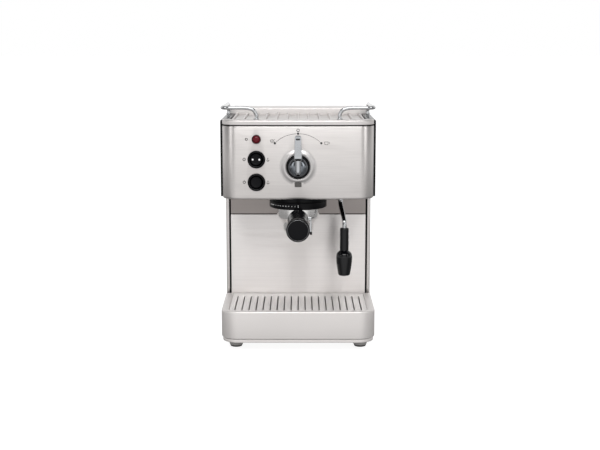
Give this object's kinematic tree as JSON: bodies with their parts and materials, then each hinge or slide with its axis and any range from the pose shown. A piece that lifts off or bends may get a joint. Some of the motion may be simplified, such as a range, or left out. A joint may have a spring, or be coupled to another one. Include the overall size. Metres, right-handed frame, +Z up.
{
  "type": "espresso machine",
  "caption": "Pump espresso machine with a bayonet portafilter, swivelling steam wand, drip tray, lift-out water tank, rotary selector and ribbed cup-warming tray.",
  "frame": {"origin": "middle of the footprint box, on the table", "axes": "+X to the right seen from the front, +Y to the rear, +Z up"},
  "size_m": [0.2014, 0.34, 0.3204],
  "materials": {
    "brushed_steel": "horizontally brushed, satin",
    "pale_shell": "smooth satin light warm grey",
    "taupe_sheet": "darker brushed, satin",
    "chrome": "polished",
    "cast_metal": "cast and polished",
    "black_plastic": "semi-gloss moulded",
    "dark_plastic": "matt moulded",
    "rubber": "matt",
    "red_lens": "clear red moulded lens",
    "white_plastic": "matt tube",
    "brass": "machined",
    "tank_plastic": "translucent smoky moulded plastic"
  },
  "bodies": {
    "root": {"column_left_panel": "brushed_steel", "column_right_panel": "brushed_steel", "splash_panel": "brushed_steel", "front_panel": "brushed_steel", "warming_tray": "brushed_steel", "knob_dish": "brushed_steel", "base_plate": "pale_shell", "rear_top_cover": "pale_shell", "rear_cover": "pale_shell", "upper_splash_panel": "taupe_sheet", "cup_rail_left": "chrome", "cup_rail_right": "chrome", "shower_screen": "chrome", "heating_element": "chrome", "wand_swivel_nut": "chrome", "boiler": "cast_metal", "boiler_lid": "cast_metal", "left_head_cover": "black_plastic", "right_head_cover": "black_plastic", "cord_inlet": "black_plastic", "group_collar": "black_plastic", "thermostat": "black_plastic", "pump": "black_plastic", "power_bezel": "black_plastic", "brew_bezel": "black_plastic", "badge_plate": "black_plastic", "chassis_frame": "dark_plastic", "head_floor": "dark_plastic", "tank_seat": "dark_plastic", "selector_switch": "dark_plastic", "foot_front_left": "rubber", "foot_front_right": "rubber", "foot_rear_left": "rubber", "foot_rear_right": "rubber", "group_gasket": "rubber", "indicator_lamp": "red_lens", "pressure_hose": "white_plastic", "group_head": "brass", "steam_valve": "brass", "steam_pipe": "brass", "suction_hose": "tank_plastic"},
    "drip_tray": {"drip_tray": "pale_shell"},
    "drip_grille": {"drip_grille": "brushed_steel"},
    "selector": {"selector_knob": "chrome", "selector_shaft": "brass"},
    "power_rocker": {"power_rocker": "dark_plastic"},
    "brew_rocker": {"brew_rocker": "dark_plastic"},
    "portafilter": {"portafilter_body": "cast_metal", "portafilter_handle": "black_plastic", "handle_end_cap": "dark_plastic", "filter_basket": "chrome", "double_spout": "cast_metal"},
    "basket_clip": {"basket_clip": "chrome"},
    "steam_wand": {"steam_wand": "chrome"},
    "froth_sleeve": {"froth_sleeve": "black_plastic", "froth_nozzle": "black_plastic"},
    "water_tank": {"water_tank": "tank_plastic", "lid_hinge_pin": "chrome"},
    "tank_lid": {"tank_lid": "pale_shell"},
    "tank_valve": {"tank_valve": "black_plastic"}
  },
  "joints": [
    {"name": "drip_tray_slide", "type": "slide", "parent": "root", "child": "drip_tray", "axis": [0, -1, 0], "range_m": [0, 0.11]},
    {"name": "grille_lift", "type": "slide", "parent": "drip_tray", "child": "drip_grille", "axis": [0, 0, 1], "range_m": [0, 0.03]},
    {"name": "selector_turn", "type": "hinge", "parent": "root", "child": "selector", "pos_m": [0, -0.095, 0.2439], "axis": [0, 1, 0], "range_deg": [-45, 45]},
    {"name": "power_rocker_tip", "type": "hinge", "parent": "root", "child": "power_rocker", "pos_m": [-0.053, -0.092, 0.253], "axis": [0, 0, 1], "range_deg": [0, 14]},
    {"name": "brew_rocker_tip", "type": "hinge", "parent": "root", "child": "brew_rocker", "pos_m": [-0.053, -0.092, 0.2239], "axis": [0, 0, 1], "range_deg": [0, 14]},
    {"name": "portafilter_turn", "type": "hinge", "parent": "root", "child": "portafilter", "pos_m": [0, -0.04, 0.18], "axis": [0, 0, 1], "range_deg": [-50, 0]},
    {"name": "basket_clip_flip", "type": "hinge", "parent": "portafilter", "child": "basket_clip", "pos_m": [0.012, -0.071, 0.1735], "axis": [-1, 0, 0], "range_deg": [0, 85]},
    {"name": "steam_wand_swivel", "type": "hinge", "parent": "root", "child": "steam_wand", "pos_m": [0.0564, -0.029, 0.198], "axis": [0, 0, 1], "range_deg": [-25, 90]},
    {"name": "froth_sleeve_pull", "type": "slide", "parent": "steam_wand", "child": "froth_sleeve", "axis": [0, 0, -1], "range_m": [0, 0.03]},
    {"name": "water_tank_lift", "type": "slide", "parent": "root", "child": "water_tank", "axis": [0, 0, 1], "range_m": [0, 0.21]},
    {"name": "tank_lid_hinge", "type": "hinge", "parent": "water_tank", "child": "tank_lid", "pos_m": [0, 0.1636, 0.3038], "axis": [-1, 0, 0], "range_deg": [0, 95]},
    {"name": "tank_valve_plunge", "type": "slide", "parent": "water_tank", "child": "tank_valve", "axis": [0, 0, 1], "range_m": [0, 0.0025], "stiffness_N_per_m": 200}
  ]
}
